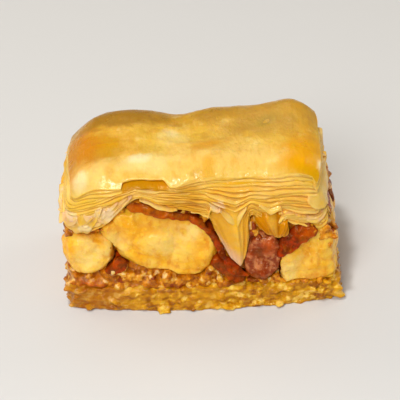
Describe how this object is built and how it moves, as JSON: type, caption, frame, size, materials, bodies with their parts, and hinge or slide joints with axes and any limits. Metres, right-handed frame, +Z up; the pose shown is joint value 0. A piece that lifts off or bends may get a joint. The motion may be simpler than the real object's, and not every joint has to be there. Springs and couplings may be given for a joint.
{
  "type": "baklava piece",
  "caption": "Rectangular block of baklava with a pillowed, layered pastry lid over a syrupy walnut filling and a thin crumbly pastry base.",
  "frame": {"origin": "centre of the underside, on the resting plane", "axes": "+X along the length, -Y out of the best cut face, +Z up"},
  "size_m": [0.051, 0.032, 0.0288],
  "materials": {
    "phyllo_lid": "satin, glazed with syrup",
    "phyllo_base": "wet and crumbly",
    "nut_filling": "wet with syrup",
    "walnut": "satin, wet with syrup",
    "walnut_skin": "wet skin"
  },
  "bodies": {
    "root": {"nut_filling": "nut_filling", "phyllo_base": "phyllo_base", "phyllo_lid": "phyllo_lid", "walnut_back_1": "walnut", "walnut_back_2": "walnut", "walnut_back_3": "walnut", "walnut_back_4": "walnut", "walnut_back_5": "walnut", "walnut_front_big": "walnut", "walnut_front_chip": "walnut", "walnut_front_corner": "walnut", "walnut_front_dark": "walnut_skin", "walnut_front_left": "walnut", "walnut_front_right": "walnut", "walnut_front_sliver": "walnut", "walnut_left_1": "walnut", "walnut_left_2": "walnut", "walnut_right_1": "walnut", "walnut_right_2": "walnut"}
  },
  "joints": []
}
